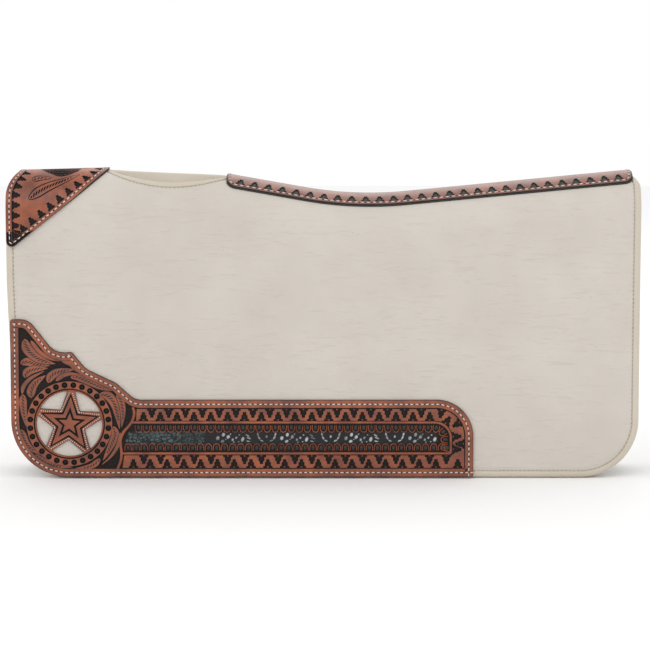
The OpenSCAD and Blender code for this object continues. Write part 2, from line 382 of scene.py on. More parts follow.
def sliceUp(bm, axis, step, low=None):  # cuts every face at even steps along an axis
    rest = bm.faces[:]
    high = max(v.co[axis] for v in bm.verts)
    cut = (min(v.co[axis] for v in bm.verts) if low is None else low) + step
    normal = Vector((0, 0, 0))
    normal[axis] = 1
    while cut < high - 1e-6 and rest:
        edges = list({e for f in rest for e in f.edges})
        verts = list({v for f in rest for v in f.verts})
        done = bmesh.ops.bisect_plane(bm, geom=rest + edges + verts, dist=1e-7,
                                      plane_co=normal * cut, plane_no=normal)
        rest = [g for g in done["geom"] if isinstance(g, bmesh.types.BMFace)
                and max(v.co[axis] for v in g.verts) > cut + 1e-7]
        cut += step


def plateau(bm, loops, rings, material=0):
    # a flat-topped shape: loops are its outline and holes, rings its side as (height, how far in, dye and
    # painted shade)
    part = newMesh()
    lean = part.verts.layers.float_vector["lean"]
    dyeAndPaintedLight = part.verts.layers.float["dyeAndPaintedLight"]
    ring = []
    for loop in loops:
        loop = tidy(loop, True)
        verts = []
        for p, n in zip(loop, leans(loop)):
            vert = part.verts.new((p.x, p.y, rings[0][0]))
            vert[lean] = (n.x, n.y, 0)
            vert[dyeAndPaintedLight] = rings[0][2]
            verts.append(vert)
        ring += [part.edges.new(pair) for pair in zip(verts, verts[1:] + verts[:1])]
    bmesh.ops.triangle_fill(part, use_beauty=True, edges=ring)
    last = rings[0][1]
    for height, inset, shade in rings[1:]:
        done = bmesh.ops.extrude_edge_only(part, edges=ring)["geom"]
        ring = [g for g in done if isinstance(g, bmesh.types.BMEdge)]
        for vert in {v for e in ring for v in e.verts}:
            vert.co += vert[lean] * (inset - last)
            vert.co.z = height
            vert[dyeAndPaintedLight] = shade
        last = inset
    bmesh.ops.triangle_fill(part, use_beauty=True, edges=ring)
    for face in part.faces:
        face.material_index = material
    addTo(bm, part)


def hide(low, high, rim=0.25 * mm, dark=0.5 * mm):  # side of a cut leather shape, dyed dark at its edge, its walls darkened with dye and painted shade
    return [(low, 0, 1), (high - rim, 0, 1), (high - 0.3 * rim, 0.4 * rim, 0.9),
            (high, rim, 0.6), (high, dark, 0)]


def roll(low, high, half, dark=1.0):  # side of a narrow rounded bar, its foot darkened by dark with dye and painted shade
    tall = high - low
    return [(low, 0, dark), (low + 0.45 * tall, 0.05 * half, 0.7 * dark),
            (low + 0.8 * tall, 0.3 * half, 0.15), (high, 0.72 * half, 0)]


def ribbon(path, half):  # outline of a bar along an open path
    return moved(path, -half) + moved(path, half)[::-1]


def ball(bm, p, h, size, way, material=0, dyeAndPaintedLight=0.0, segments=(8, 5)):
    # a small rounded body: size is half its length along way, half its width and half its height
    turn = math.atan2(way.y, way.x)
    place = (Matrix.Translation((p.x, p.y, h)) @ Matrix.Rotation(turn, 4, "Z")
             @ Matrix.Diagonal((*size, 1)) @ Matrix.Rotation(math.pi / 2, 4, "Y"))
    part = newMesh()
    bmesh.ops.create_uvsphere(part, u_segments=segments[0], v_segments=segments[1], radius=1, matrix=place)
    layer = part.verts.layers.float["dyeAndPaintedLight"]
    for vert in part.verts:
        vert[layer] = dyeAndPaintedLight
    for face in part.faces:
        face.material_index = material
    addTo(bm, part)


bendFrom = (19 * mm, 367 * mm)  # where a lifted side starts to bend, as distance out and height
bendTo = (74 * mm, 312 * mm)


def finishPiece(name, bm, side, materials, body=None, sharp=50):
    bm.verts.layers.float_vector.remove(bm.verts.layers.float_vector["lean"])
    foldOver(bm, side)
    bmesh.ops.recalc_face_normals(bm, faces=bm.faces[:])
    mesh = bpy.data.meshes.new(name)
    bm.to_mesh(mesh)
    bm.free()
    mesh.shade_smooth()
    mesh.set_sharp_from_angle(angle=math.radians(sharp))
    for material in materials:
        mesh.materials.append(material)
    piece = bpy.data.objects.new(name, mesh)
    bpy.context.scene.collection.objects.link(piece)
    half = "near_side" if side < 0 else "far_side"
    if body == "side":
        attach(piece, half)
    else:
        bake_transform(piece, "spine", half, start=(0, side * bendFrom[0], bendFrom[1]),
                 end=(0, side * bendTo[0], bendTo[1]))
    return piece


# shared shader groups

def newGroup(name, inputs, outputs):
    tree = bpy.data.node_groups.new(name, "ShaderNodeTree")
    for label, default in inputs:
        socket = tree.interface.new_socket(label, in_out="INPUT", socket_type="NodeSocketFloat")
        socket.default_value = default
    for label in outputs:
        tree.interface.new_socket(label, in_out="OUTPUT", socket_type="NodeSocketFloat")
    return tree, tree.nodes.new("NodeGroupInput"), tree.nodes.new("NodeGroupOutput")


def addNode(tree, kind, **values):
    node = tree.nodes.new(kind)
    for key, value in values.items():
        setattr(node, key, value)
    return node


def ramp(tree, source, low, high, outLow=0.0, outHigh=1.0):
    node = addNode(tree, "ShaderNodeMapRange")
    node.inputs["From Min"].default_value = low
    node.inputs["From Max"].default_value = high
    node.inputs["To Min"].default_value = outLow
    node.inputs["To Max"].default_value = outHigh
    tree.links.new(source, node.inputs["Value"])
    return node.outputs["Result"]


def sums(tree, kind, a, b):
    node = addNode(tree, "ShaderNodeMath", operation=kind)
    for socket, value in zip(node.inputs, (a, b)):
        if isinstance(value, (int, float)):
            socket.default_value = value
        else:
            tree.links.new(value, socket)
    return node.outputs[0]


def noiseOf(tree, where, scale, detail=3.0, rough=0.5, distortion=0.0):
    node = addNode(tree, "ShaderNodeTexNoise")
    node.inputs["Scale"].default_value = scale
    node.inputs["Detail"].default_value = detail
    node.inputs["Roughness"].default_value = rough
    node.inputs["Distortion"].default_value = distortion
    tree.links.new(where, node.inputs["Vector"])
    return node.outputs["Fac"]


def stretched(tree, where, scale):
    node = addNode(tree, "ShaderNodeMapping")
    node.inputs["Scale"].default_value = scale
    tree.links.new(where, node.inputs["Vector"])
    return node.outputs["Vector"]


def makeFeltGroup():  # matted wool: loose fibres, faint level creases, cloudy tone and a few dark specks
    tree, given, result = newGroup("mattedWool", [("Crease", 1.0)], ("Height", "Cloud", "Speck"))
    where = addNode(tree, "ShaderNodeTexCoord").outputs["Object"]
    fibres = noiseOf(tree, stretched(tree, where, (1, 1, 1.6)), 520, 5, 0.65, 1.4)
    nap = noiseOf(tree, where, 1500, 2, 0.5)
    creases = ramp(tree, noiseOf(tree, stretched(tree, where, (0.5, 1, 3.8)), 70, 4, 0.6, 0.8), 0.56, 0.7)
    height = sums(tree, "ADD", sums(tree, "MULTIPLY", fibres, 0.6), sums(tree, "MULTIPLY", nap, 0.35))
    folds = sums(tree, "MULTIPLY", creases, sums(tree, "MULTIPLY", given.outputs["Crease"], 0.55))
    tree.links.new(sums(tree, "SUBTRACT", height, folds), result.inputs["Height"])
    tree.links.new(noiseOf(tree, where, 9, 4, 0.6), result.inputs["Cloud"])
    spots = addNode(tree, "ShaderNodeTexVoronoi")
    spots.inputs["Scale"].default_value = 130
    tree.links.new(where, spots.inputs["Vector"])
    few = ramp(tree, noiseOf(tree, where, 60, 1), 0.62, 0.66)
    dots = ramp(tree, spots.outputs["Distance"], 0.09, 0.05)
    tree.links.new(sums(tree, "MULTIPLY", few, dots), result.inputs["Speck"])
    return tree


def makeGrainGroup():  # tooled leather: pores, fine grain and uneven dye
    tree, given, result = newGroup("hideGrain", [("Scale", 1.0)], ("Height", "Dye", "Worn"))
    where = addNode(tree, "ShaderNodeTexCoord").outputs["Object"]
    sized = addNode(tree, "ShaderNodeVectorMath", operation="SCALE")
    tree.links.new(where, sized.inputs[0])
    tree.links.new(given.outputs["Scale"], sized.inputs["Scale"])
    cells = addNode(tree, "ShaderNodeTexVoronoi", feature="DISTANCE_TO_EDGE")
    cells.inputs["Scale"].default_value = 900
    tree.links.new(sized.outputs[0], cells.inputs["Vector"])
    pores = ramp(tree, cells.outputs["Distance"], 0.0, 0.12)
    fine = noiseOf(tree, sized.outputs[0], 700, 4, 0.6)
    tree.links.new(sums(tree, "ADD", sums(tree, "MULTIPLY", pores, 0.4), fine), result.inputs["Height"])
    tree.links.new(noiseOf(tree, sized.outputs[0], 38, 5, 0.62), result.inputs["Dye"])
    tree.links.new(noiseOf(tree, sized.outputs[0], 8, 3, 0.5), result.inputs["Worn"])
    return tree


def makeStippleGroup():  # the matted background tool: close round dots
    tree, given, result = newGroup("stipple", [("Scale", 1.0)], ("Height", "Rise"))
    where = addNode(tree, "ShaderNodeTexCoord").outputs["Object"]
    sized = addNode(tree, "ShaderNodeVectorMath", operation="SCALE")
    tree.links.new(where, sized.inputs[0])
    tree.links.new(given.outputs["Scale"], sized.inputs["Scale"])
    dots = addNode(tree, "ShaderNodeTexVoronoi")
    dots.inputs["Scale"].default_value = 820
    tree.links.new(sized.outputs[0], dots.inputs["Vector"])
    tree.links.new(ramp(tree, dots.outputs["Distance"], 0.0, 0.6, 1, 0), result.inputs["Height"])
    tree.links.new(ramp(tree, dots.outputs["Distance"], 0.05, 0.4, 1, 0), result.inputs["Rise"])
    return tree


feltGroup, grainGroup, stippleGroup = makeFeltGroup(), makeGrainGroup(), makeStippleGroup()

# materials

def srgb(r, g, b):  # an everyday 0 to 255 colour as light
    return tuple(((c / 255 + 0.055) / 1.055) ** 2.4 if c > 10 else c / 3295 for c in (r, g, b)) + (1,)


def newMaterial(name, roughness, coat=0.0, coatRough=0.2, sheen=0.0):
    material = bpy.data.materials.new(name)
    material.use_nodes = True
    tree = material.node_tree
    shader = tree.nodes["Principled BSDF"]
    shader.inputs["Roughness"].default_value = roughness
    shader.inputs["Coat Weight"].default_value = coat
    shader.inputs["Coat Roughness"].default_value = coatRough
    shader.inputs["Sheen Weight"].default_value = sheen
    return material, tree, shader


def useGroup(tree, group, **values):
    node = tree.nodes.new("ShaderNodeGroup")
    node.node_tree = group
    for key, value in values.items():
        node.inputs[key].default_value = value
    return node


def mixColours(tree, factor, a, b):
    node = addNode(tree, "ShaderNodeMix", data_type="RGBA")
    for socket, value in ((node.inputs[6], a), (node.inputs[7], b)):
        if isinstance(value, tuple):
            socket.default_value = value
        else:
            tree.links.new(value, socket)
    tree.links.new(factor, node.inputs[0])
    return node.outputs[2]


def addBump(tree, shader, height, strength, distance):
    bump = addNode(tree, "ShaderNodeBump")
    bump.inputs["Strength"].default_value = strength
    bump.inputs["Distance"].default_value = distance
    tree.links.new(height, bump.inputs["Height"])
    tree.links.new(bump.outputs["Normal"], shader.inputs["Normal"])


def feltMaterial(name, light, dark, speck, crease):
    material, tree, shader = newMaterial(name, 0.95, sheen=0.25)
    wool = useGroup(tree, feltGroup, Crease=crease)
    colour = mixColours(tree, ramp(tree, wool.outputs["Cloud"], 0.3, 0.7, 0.15, 0.75), light, dark)
    # painted shade: the wool turns darker where its height is low, in its creases and between fibres
    colour = mixColours(tree, ramp(tree, wool.outputs["Height"], -0.3, 0.45, 0.9, 0.0), colour, dark)
    colour = mixColours(tree, sums(tree, "MULTIPLY", wool.outputs["Speck"], 0.5), colour, speck)
    tree.links.new(colour, shader.inputs["Base Color"])
    addBump(tree, shader, wool.outputs["Height"], 0.55, 0.8 * mm)
    return material


def leatherMaterial(name, light, dark, dyeAndShadeColour, roughness, coat, coatRough):
    material, tree, shader = newMaterial(name, roughness, coat, coatRough)
    skin = useGroup(tree, grainGroup, Scale=1.0)
    colour = mixColours(tree, ramp(tree, skin.outputs["Dye"], 0.38, 0.64), light, dark)
    colour = mixColours(tree, ramp(tree, skin.outputs["Worn"], 0.3, 0.7, 0.0, 0.4), colour, dark)
    dyeAndPaintedLight = addNode(tree, "ShaderNodeAttribute", attribute_name="dyeAndPaintedLight")
    # dye and painted shade: cut walls and the feet of raised shapes turn towards the near-black colour
    patchy = sums(tree, "MULTIPLY", sums(tree, "SUBTRACT", skin.outputs["Dye"], 0.5), 0.5)
    dyeAndShade = sums(tree, "ADD", dyeAndPaintedLight.outputs["Fac"], patchy)
    colour = mixColours(tree, ramp(tree, dyeAndShade, 0.2, 0.75), colour, dyeAndShadeColour)
    tree.links.new(colour, shader.inputs["Base Color"])
    addBump(tree, shader, skin.outputs["Height"], 0.35, 0.25 * mm)
    return material


def groundMaterial(name, low, high, roughness):
    material, tree, shader = newMaterial(name, roughness, coat=0.04, coatRough=0.35)
    shader.inputs["Specular IOR Level"].default_value = 0.25
    dots = useGroup(tree, stippleGroup, Scale=1.0)
    tree.links.new(mixColours(tree, dots.outputs["Rise"], low, high), shader.inputs["Base Color"])
    addBump(tree, shader, dots.outputs["Height"], 0.8, 0.5 * mm)
    return material


def threadMaterial(name, light, dark):
    material, tree, shader = newMaterial(name, 0.6, sheen=0.2)
    where = addNode(tree, "ShaderNodeTexCoord").outputs["Object"]
    twist = noiseOf(tree, where, 1600, 2, 0.5)
    tree.links.new(mixColours(tree, ramp(tree, twist, 0.4, 0.65), light, dark), shader.inputs["Base Color"])
    addBump(tree, shader, twist, 0.5, 0.3 * mm)
    return material


def plainMaterial(name, light, dark, roughness, scale, coat=0.0):
    material, tree, shader = newMaterial(name, roughness, coat)
    where = addNode(tree, "ShaderNodeTexCoord").outputs["Object"]
    cloud = noiseOf(tree, where, scale, 4, 0.6)
    colour = mixColours(tree, ramp(tree, cloud, 0.35, 0.65), light, dark)
    tree.links.new(colour, shader.inputs["Base Color"])
    addBump(tree, shader, cloud, 0.4, 0.3 * mm)
    return material


woolFelt = feltMaterial("woolFelt", srgb(204, 197, 188), srgb(190, 182, 172), srgb(122, 108, 92), 0.9)
bindingFelt = feltMaterial("bindingFelt", srgb(203, 194, 180), srgb(188, 177, 161), srgb(128, 112, 92), 0.2)
tanLeather = leatherMaterial("tanLeather", srgb(156, 79, 42), srgb(106, 50, 27), srgb(14, 7, 6),
                             0.42, 0.22, 0.3)
stripLeather = leatherMaterial("stripLeather", srgb(152, 102, 84), srgb(116, 70, 54), srgb(22, 14, 12),
                               0.45, 0.35, 0.3)
darkGround = groundMaterial("darkGround", srgb(9, 5, 4), srgb(74, 44, 35), 0.6)
# black edge paint and backing, also used as painted shade for stitch holes and round the panel leaves
blackDyeAndShade = plainMaterial("blackDyeAndShade", srgb(14, 11, 11), srgb(34, 29, 28), 0.5, 900, 0.1)
whiteThread = threadMaterial("whiteThread", srgb(222, 206, 198), srgb(176, 150, 138))
bindingThread = threadMaterial("bindingThread", srgb(178, 164, 142), srgb(150, 136, 112))
seamTape = plainMaterial("seamTape", srgb(196, 188, 174), srgb(178, 170, 154), 0.85, 700)
coreFoam = plainMaterial("coreFoam", srgb(88, 104, 124), srgb(70, 84, 102), 0.8, 300)
print("materials ready")

# the pad's edges as paths on the flat pattern

vent = {"x": -193 * mm, "half": 72 * mm, "drop": 34 * mm, "tip": 80 * mm}
vent["r"] = (vent["half"] ** 2 + vent["drop"] ** 2) / (2 * vent["drop"])


def edgePath():  # from the spine in front, down, along the bottom and up to the spine behind
    front, rear = pad["frontX"], pad["rearX"]
    inFront, behind = front + 45 * mm, rear - 25 * mm
    corners = [
        (inFront, ridgeZ(inFront), 0),
        (front, ridgeZ(front), pad["frontCornerR"]),
        (front, 245 * mm, 200 * mm),
        (front + pad["frontLean"], 150 * mm, 200 * mm),
        (front + pad["frontLean"], 0, pad["lowCornerR"]),
        (rear, 0, pad["lowCornerR"]),
        (rear, ridgeZ(rear), pad["rearCornerR"]),
        (behind, ridgeZ(behind), 0),
    ]
    line = spread(roundCorners(corners, step=3 * mm), 8 * mm)
    flat = [toFlat(p) for p in line]
    below = [i for i, p in enumerate(flat) if ridgeV(p.x) - p.y > 0.3 * mm]
    return tidy(flat[below[0] - 1:below[-1] + 2])


def ventPath():  # from behind the vent, round under it, to ahead of it
    out = []
    for k in range(41):
        dx = vent["tip"] * (1 - k / 20)
        rise = vent["r"] - math.sqrt(vent["r"] ** 2 - dx ** 2)
        turn = math.pi / 4 - math.asin(rise / pad["foldR"])
        x = vent["x"] + dx
        out.append(Vector((x, ridgeV(x) - pad["foldR"] * turn)))
    return out


edgeLine, ventLine = edgePath(), ventPath()
edgeSpots = spread(edgeLine, 2 * mm) + spread(underRidge(ventLine), 2 * mm)
edgeTree = kdtree.KDTree(len(edgeSpots))
for i, spot in enumerate(edgeSpots):
    edgeTree.insert((spot.x, spot.y, 0), i)
edgeTree.balance()


def padLoop(inset):  # the whole side as one outline, moved in from its free edges
    edge = underRidge(moved(overRidge(edgeLine), inset))
    gap = underRidge(moved(ventLine, inset))
    behind = ridgeRun(edge[-1].x, gap[0].x)
    ahead = ridgeRun(gap[-1].x, edge[0].x)
    return tidy(edge + behind + gap + ahead, True)


def fromEdge(x, v):
    return edgeTree.find((x, v, 0))[2]


# felts and core

felts = {
    "stepX": 4.5 * mm,
    "stepV": 4 * mm,
    "margin": 3.5 * mm,  # how far the felt stops short of the binding's outside
    "pinch": 3 * mm,  # how much the binding presses each face in
    "pinchFrom": 4 * mm,
    "pinchTo": 13 * mm,
    "topT": 9 * mm,
    "coreT": 7 * mm,
    "coreInset": 17 * mm,
    "coreGap": 8 * mm,
    "pucker": 0.2 * mm,
}


def pinched(x, v):
    near = ease((fromEdge(x, v) - felts["pinchFrom"]) / (felts["pinchTo"] - felts["pinchFrom"]))
    return felts["pinch"] * (1 - near)


def puckers(x, v):  # small level creases in the felt, in the open areas only
    lines = noise.noise(Vector((x * 22, v * 95, 0.3))) + 0.6 * noise.noise(Vector((x * 60, v * 210, 4)))
    return -felts["pucker"] * max(0, lines)


def slab(outline, outerH, innerH, stepX, stepV):
    bm = newMesh()
    verts = [bm.verts.new((p.x, p.y, 0)) for p in outline]
    bm.faces.new(verts)
    sliceUp(bm, 0, stepX)
    sliceUp(bm, 1, stepV)
    back = bmesh.ops.extrude_face_region(bm, geom=bm.faces[:])["geom"]
    under = {g for g in back if isinstance(g, bmesh.types.BMVert)}
    for vert in bm.verts:
        vert.co.z = (innerH if vert in under else outerH)(vert.co.x, vert.co.y)
    return bm


def coreTop(x, v):
    return -felts["topT"] - 0.1 * mm


def coreLow(x, v):
    return -felts["topT"] - felts["coreT"] + 0.1 * mm


def bedH(x, v):  # the under felt's upper face, which drops to make room for the core
    away = ease((fromEdge(x, v) - 7 * mm) / (7 * mm)) * ease((ridgeV(x) - v - 2 * mm) / (5 * mm))
    return -felts["topT"] - 0.1 * mm - (felts["coreT"] + 0.1 * mm) * away


def makeFelts(word, side):
    top = slab(padLoop(felts["margin"]), lambda x, v: puckers(x, v) - pinched(x, v),
               lambda x, v: -felts["topT"], felts["stepX"], felts["stepV"])
    piece = finishPiece(word + "TopFelt", top, side, [woolFelt])
    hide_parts(word + "_top_felt")
    under = slab(padLoop(felts["margin"]), bedH, lambda x, v: pinched(x, v) - pad["thick"],
                 felts["stepX"] * 1.6, felts["stepV"] * 1.6)
    piece = finishPiece(word + "UnderFelt", under, side, [woolFelt])
    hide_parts(word + "_under_felt")
    outline = padLoop(felts["coreInset"])
    outline = [Vector((p.x, min(p.y, ridgeV(p.x) - felts["coreGap"]))) for p in outline]
    core = slab(tidy(outline, True), coreTop, coreLow, 12 * mm, 8 * mm)
    piece = finishPiece(word + "ShockCore", core, side, [coreFoam])
    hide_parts(word + "_shock_core")


# binding

binding = {
    "width": 8.6 * mm,
    "cloth": 1.4 * mm,
    "roundR": 6.5 * mm,
    "stitchIn": 9.4 * mm,
    "stitchPitch": 5.2 * mm,
    "stitch": (1.5 * mm, 0.35 * mm, 0.4 * mm),
}


def bindingSection():  # across the edge, as (distance in from the edge, height)
    w, c, r, t = binding["width"], binding["cloth"], binding["roundR"], pad["thick"]
    turns = [math.radians(a) for a in (90, 68, 46, 23, 0)]
    outer = [(w, -0.9 * mm), (w - 0.8 * mm, -0.25 * mm)]
    outer += [(r - r * math.cos(a), r * math.sin(a) - r) for a in turns]
    inner = [(w - 0.2 * mm, -c - 1.2 * mm), (r, -c - 0.3 * mm)]
    inner += [(r - (r - c) * math.cos(a), (r - c) * math.sin(a) - r) for a in turns[1:]]
    section = outer + [(d, -t - h) for d, h in reversed(outer)]
    section += [(d, -t - h) for d, h in inner] + list(reversed(inner))
    return section


def sweep(bm, path, section):  # the section carried along a path, closed at both ends
    number = bm.verts.layers.int.new("number")
    ways = leans(path, False)

    def place(vert, i):
        d, h = section[vert[number]]
        spot = path[i] + ways[i] * d
        vert.co = (spot.x, spot.y, h)

    verts = []
    for k in range(len(section)):
        vert = bm.verts.new((0, 0, 0))
        vert[number] = k
        place(vert, 0)
        verts.append(vert)
    ring = [bm.edges.new(pair) for pair in zip(verts, verts[1:] + verts[:1])]
    bmesh.ops.triangle_fill(bm, use_beauty=True, edges=ring)
    for i in range(1, len(path)):
        done = bmesh.ops.extrude_edge_only(bm, edges=ring)["geom"]
        ring = [g for g in done if isinstance(g, bmesh.types.BMEdge)]
        for vert in {v for e in ring for v in e.verts}:
            place(vert, i)
    bmesh.ops.triangle_fill(bm, use_beauty=True, edges=ring)
    bm.verts.layers.int.remove(number)


def stitchRow(bm, path, pitch, size, h, jitter):
    for p, way in along(path, pitch, pitch / 2, pitch / 2):
        if p.y > ridgeV(p.x) - 0.5 * mm:
            continue
        turned = Matrix.Rotation(random.uniform(-jitter, jitter), 2) @ way
        ball(bm, p, h, size, turned, segments=(6, 4))


def makeBinding(word, side):
    for label, line, node in (("EdgeBinding", overRidge(edgeLine), "_edge_binding"),
                              ("VentBinding", ventLine, "_vent_binding")):
        bm = newMesh()
        sweep(bm, spread(line, 5 * mm), bindingSection())
        piece = finishPiece(word + label, bm, side, [bindingFelt], sharp=70)
        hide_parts(word + node)
    for label, line, node in (("EdgeStitching", edgeLine, "_edge_stitching"),
                              ("VentStitching", underRidge(ventLine), "_vent_stitching")):
        bm = newMesh()
        seam = underRidge(moved(line, binding["stitchIn"]))
        for h in (-0.6 * mm, 0.6 * mm - pad["thick"]):
            stitchRow(bm, seam, binding["stitchPitch"], binding["stitch"], h, 0.12)
        piece = finishPiece(word + label, bm, side, [bindingThread], sharp=180)
        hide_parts(word + node)


# tooling shared by the leathers

tooling = {
    "groundH": 1.5 * mm,  # height of the sunk background
    "faceH": 3.0 * mm,  # height of the untouched face
    "stamp": [(-5.7, 0), (-5.6, 2.2), (-3.7, 2.5), (-3.5, 7.2), (-2.0, 7.5), (-1.8, 11.0),
              (1.8, 11.0), (2.0, 7.5), (3.5, 7.2), (3.7, 2.5), (5.6, 2.2), (5.7, 0)],
    "stitch": (2.3 * mm, 0.82 * mm, 0.6 * mm),
    "stitchPitch": 6.5 * mm,
    # hole: size of the dark blob painted as the shade in each stitch hole
    "hole": (1.5 * mm, 1.0 * mm, 0.55 * mm),
}


def notched(path, places, size=1.0):  # an open path with stepped stamps cut in from its right to its left
    reach = tooling["stamp"][-1][0] * size * mm
    spots = sorted(places)
    out, done = [], 0.0
    for a, b in zip(path, path[1:]):
        length = (b - a).length
        way = (b - a).normalized()
        if all(abs(done - t) > reach for t in spots):
            out.append(a)
        for t in spots:
            if done <= t < done + length:
                mid = a + way * (t - done)
                out += [mid + (way * u + leftOf(way) * v) * size * mm for u, v in tooling["stamp"]]
        done += length
    return tidy(out + [path[-1]])


def lengthOf(path):
    return sum((b - a).length for a, b in zip(path, path[1:]))


def stampHole(p, way, size=1.0):  # one stepped stamp, its foot along way and its top to the left
    return [p + (way * u + leftOf(way) * v) * size * mm for u, v in tooling["stamp"]]


def slit(p, way, length, width):  # a narrow pointed cut, as a hole
    side = leftOf(way)
    shape = [(-1, 0), (-0.4, -1), (0.4, -1), (1, 0), (0.4, 1), (-0.4, 1)]
    return [p + way * a * length / 2 + side * b * width / 2 for a, b in shape][::-1]


def leafHalf(width, t, blunt=0.2):  # half the width of a leaf at a share of its length
    return width / 2 * math.sqrt(min(1, t / blunt)) * (1 - t ** 2.4) + 0.5 * mm


def leafShape(rib, width):  # the outline of a leaf along its rib, round at the start, pointed at the end
    line = smoothLine(rib, 5)
    total, done = lengthOf(line), 0.0
    left, right = [], []
    for i, (p, n) in enumerate(zip(line, leans(line, False))):
        done += (p - line[i - 1]).length if i else 0
        half = leafHalf(width, min(1, done / total))
        left.append(p + n.normalized() * half)
        right.append(p - n.normalized() * half)
    return tidy(right + left[::-1], True)


def leafCuts(rib, width, pitch=4.0 * mm, slant=0.7, share=0.6):  # slanting cuts down the middle of a leaf
    line = smoothLine(rib, 5)
    total = lengthOf(line)
    spots = along(line, pitch, 3.6 * mm, 4 * mm)
    out = []
    for k, (p, way) in enumerate(spots):
        t = (3.6 * mm + (total - 7.6 * mm) * k / (len(spots) - 1)) / total
        before, after = max(0, t - 1.5 * mm / total), t + 2 * mm / total
        room = min(leafHalf(width, before), leafHalf(width, after)) - 1.5 * mm
        long = min(width * share, 2 * room / math.sin(slant))
        if long > 1.3 * mm:
            out.append(slit(p, Matrix.Rotation(slant, 2) @ way, long, 1.25 * mm))
    return out


def addLeaf(bm, rib, width, low, high, cuts):  # a leaf on a slightly wider dark one, which outlines it with painted shade
    rib = [Vector(p) * mm for p in rib]
    plateau(bm, [leafShape(rib, (width + 1.5) * mm)], [(low, 0, 1), (high - 0.12 * mm, 0, 1)], 2)
    loops = [leafShape(rib, width * mm)]
    if cuts:
        loops += leafCuts(rib, width * mm)
    plateau(bm, loops, hide(low, high, 0.2 * mm, 0.35 * mm))


def addStitches(bm, holes, path, pitch, h):
    stitchRow(bm, path, pitch, tooling["stitch"], h, 0.1)
    for p, way in along(path, pitch):
        if p.y < ridgeV(p.x) - 1 * mm:
            # painted shade: a dark blob under each stitch stands for the shade in its hole
            ball(holes, p, h - 0.2 * mm, tooling["hole"], way, 2, 1, (6, 4))


# wear leather

wearLow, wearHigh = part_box("near_wear_leather")
wear = {
    "bottomZ": wearLow.z,
    "stripZ": 99 * mm,
    "frontZ": 200 * mm,
    "rearX": wearHigh.x,
    "rearR": 46 * mm,
    "edgeGap": 0.5 * mm,  # how far it stops short of the pad's front edge
    "incisedIn": 10.4 * mm,
    "stitchIn": 5.4 * mm,
    "line": 0.7 * mm,  # width of a cut line
    "bandHigh": 72.6 * mm,
    "bandLow": 29.4 * mm,
    "innerX": 161 * mm,
    "innerR": 22 * mm,
    "barHalf": 1.7 * mm,
    "stampPitch": 21 * mm,
    "foot": (1.3 * mm, 0.9 * mm, 1.2 * mm),  # bump at the foot of each stamp
    # stamps along the band: how many and how far from its end, low down and high up,
    # and those round the rear end, as lengths along the row
    "outerStamps": {"low": (19, 14 * mm), "high": (17, 19 * mm),
                    "bend": [419.3 * mm, 457.4 * mm, 486 * mm, 515 * mm]},
    "innerStamps": {"low": (19, 24.5 * mm), "high": (18, 9.5 * mm), "bend": [417 * mm, 433 * mm, 452 * mm]},
    "loopPitch": 10 * mm,
    "ringMid": Vector((-317, 69)) * mm,
    "ringR": 41 * mm,
    "lipR": 43.2 * mm,
    "ringIn": 44.2 * mm,
    "ringOut": 53.7 * mm,
    "dots": 28,
    "dotR": 2.75 * mm,
    "starTurn": math.radians(-3.6),
    "starOutline": (56 * mm, 20.4 * mm),  # radius of the points and of the inner corners
    "starGroove": (38 * mm, 16.3 * mm),
    "starBand": (35 * mm, 14.3 * mm),
    "starBandIn": (20.5 * mm, 8.6 * mm),
    "starMiddle": (14.6 * mm, 6.2 * mm),
    "beads": (44.5 * mm, 18.4 * mm),
    "bead": (0.8 * mm, 0.8 * mm, 0.6 * mm),
    # the dark blob painted as the shade in each bead's hole
    "beadHoleShade": (0.5 * mm, 0.6 * mm, 0.25 * mm),
}


def wearLoop():
    front = pad["frontX"] + pad["frontLean"] + wear["edgeGap"]
    lowR = pad["lowCornerR"] - wear["edgeGap"]
    low, strip, tall, rear = wear["bottomZ"], wear["stripZ"], wear["frontZ"], wear["rearX"]
    return roundCorners([
        (front, low, lowR), (rear, low, 1 * mm), (rear, strip, wear["rearR"]), (-235 * mm, strip, 20 * mm),
        (-258 * mm, strip + 21 * mm, 20 * mm), (-296 * mm, strip + 39 * mm, 30 * mm),
        (-313 * mm, strip + 60 * mm, 1 * mm), (-334 * mm, strip + 59 * mm, 24 * mm),
        (-367 * mm, tall, 20 * mm), (front, tall, 3 * mm)], closed=True, step=3 * mm)


def onStar(r, k):  # k counts points and inner corners in turn, from the top point
    t = math.radians(90 + 36 * k) + wear["starTurn"]
    return wear["ringMid"] + r * Vector((math.cos(t), math.sin(t)))


def star(radii):
    return [onStar(radii[k % 2], k) for k in range(10)]


def whereOut(a, b, r):  # the place between a and b that lies r from the ring's middle
    low, high = 0.0, 1.0
    for step in range(30):
        half = (low + high) / 2
        if (a.lerp(b, half) - wear["ringMid"]).length < r:
            low = half
        else:
            high = half
    return a.lerp(b, low)


def arc(a, b, r, step=3 * mm):  # points between a and b round the ring's middle, ends left out
    mid = wear["ringMid"]
    start = math.atan2(a.y - mid.y, a.x - mid.x)
    turn = (math.atan2(b.y - mid.y, b.x - mid.x) - start + math.pi) % (2 * math.pi) - math.pi
    steps = max(2, math.ceil(abs(turn) * r / step))
    return [mid + r * Vector((math.cos(start + turn * k / steps), math.sin(start + turn * k / steps)))
            for k in range(1, steps)]


def starWindows(r):  # the five openings between the arms, as holes
    rOut, rIn = wear["starOutline"]
    out = []
    for k in range(1, 10, 2):
        corner = onStar(rIn, k)
        a, b = (whereOut(corner, onStar(rOut, n), r) for n in (k - 1, k + 1))
        out.append(([corner, a] + arc(a, b, r) + [b])[::-1])
    return out


